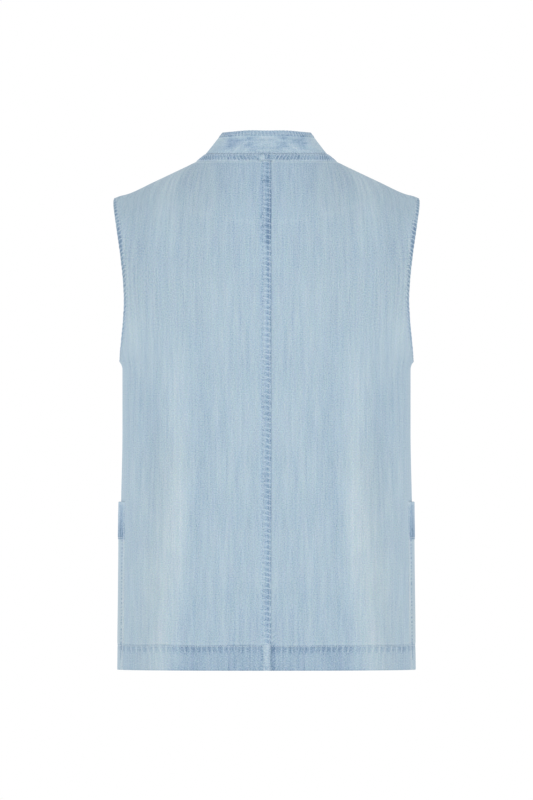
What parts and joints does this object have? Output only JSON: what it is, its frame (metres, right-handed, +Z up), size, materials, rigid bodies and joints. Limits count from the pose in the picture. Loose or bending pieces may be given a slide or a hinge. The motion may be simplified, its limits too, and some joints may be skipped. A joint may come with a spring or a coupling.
{
  "type": "denim vest",
  "caption": "Sleeveless straight-cut denim vest with a band collar, felled centre back seam, stitched armholes and patch pockets that wrap the side seams, filled out as if worn.",
  "frame": {"origin": "midway between the shoulders, level with the middle of the shoulder lines, where the wearer holds the garment up", "axes": "+Z up towards the collar, -Y towards the garment's front, +X towards the wearer's left"},
  "size_m": [0.399, 0.2652, 0.7013],
  "materials": {
    "body_cloth": "washed light blue denim",
    "seam_cloth": "washed denim, darker at the stitched band",
    "collar_cloth": "washed light blue denim, two layers"
  },
  "bodies": {
    "root": {"back_left": "body_cloth", "back_right": "body_cloth", "front_left": "body_cloth", "front_right": "body_cloth", "neck_band": "seam_cloth", "collar": "collar_cloth", "pocket_left": "body_cloth", "pocket_right": "body_cloth"}
  },
  "joints": []
}
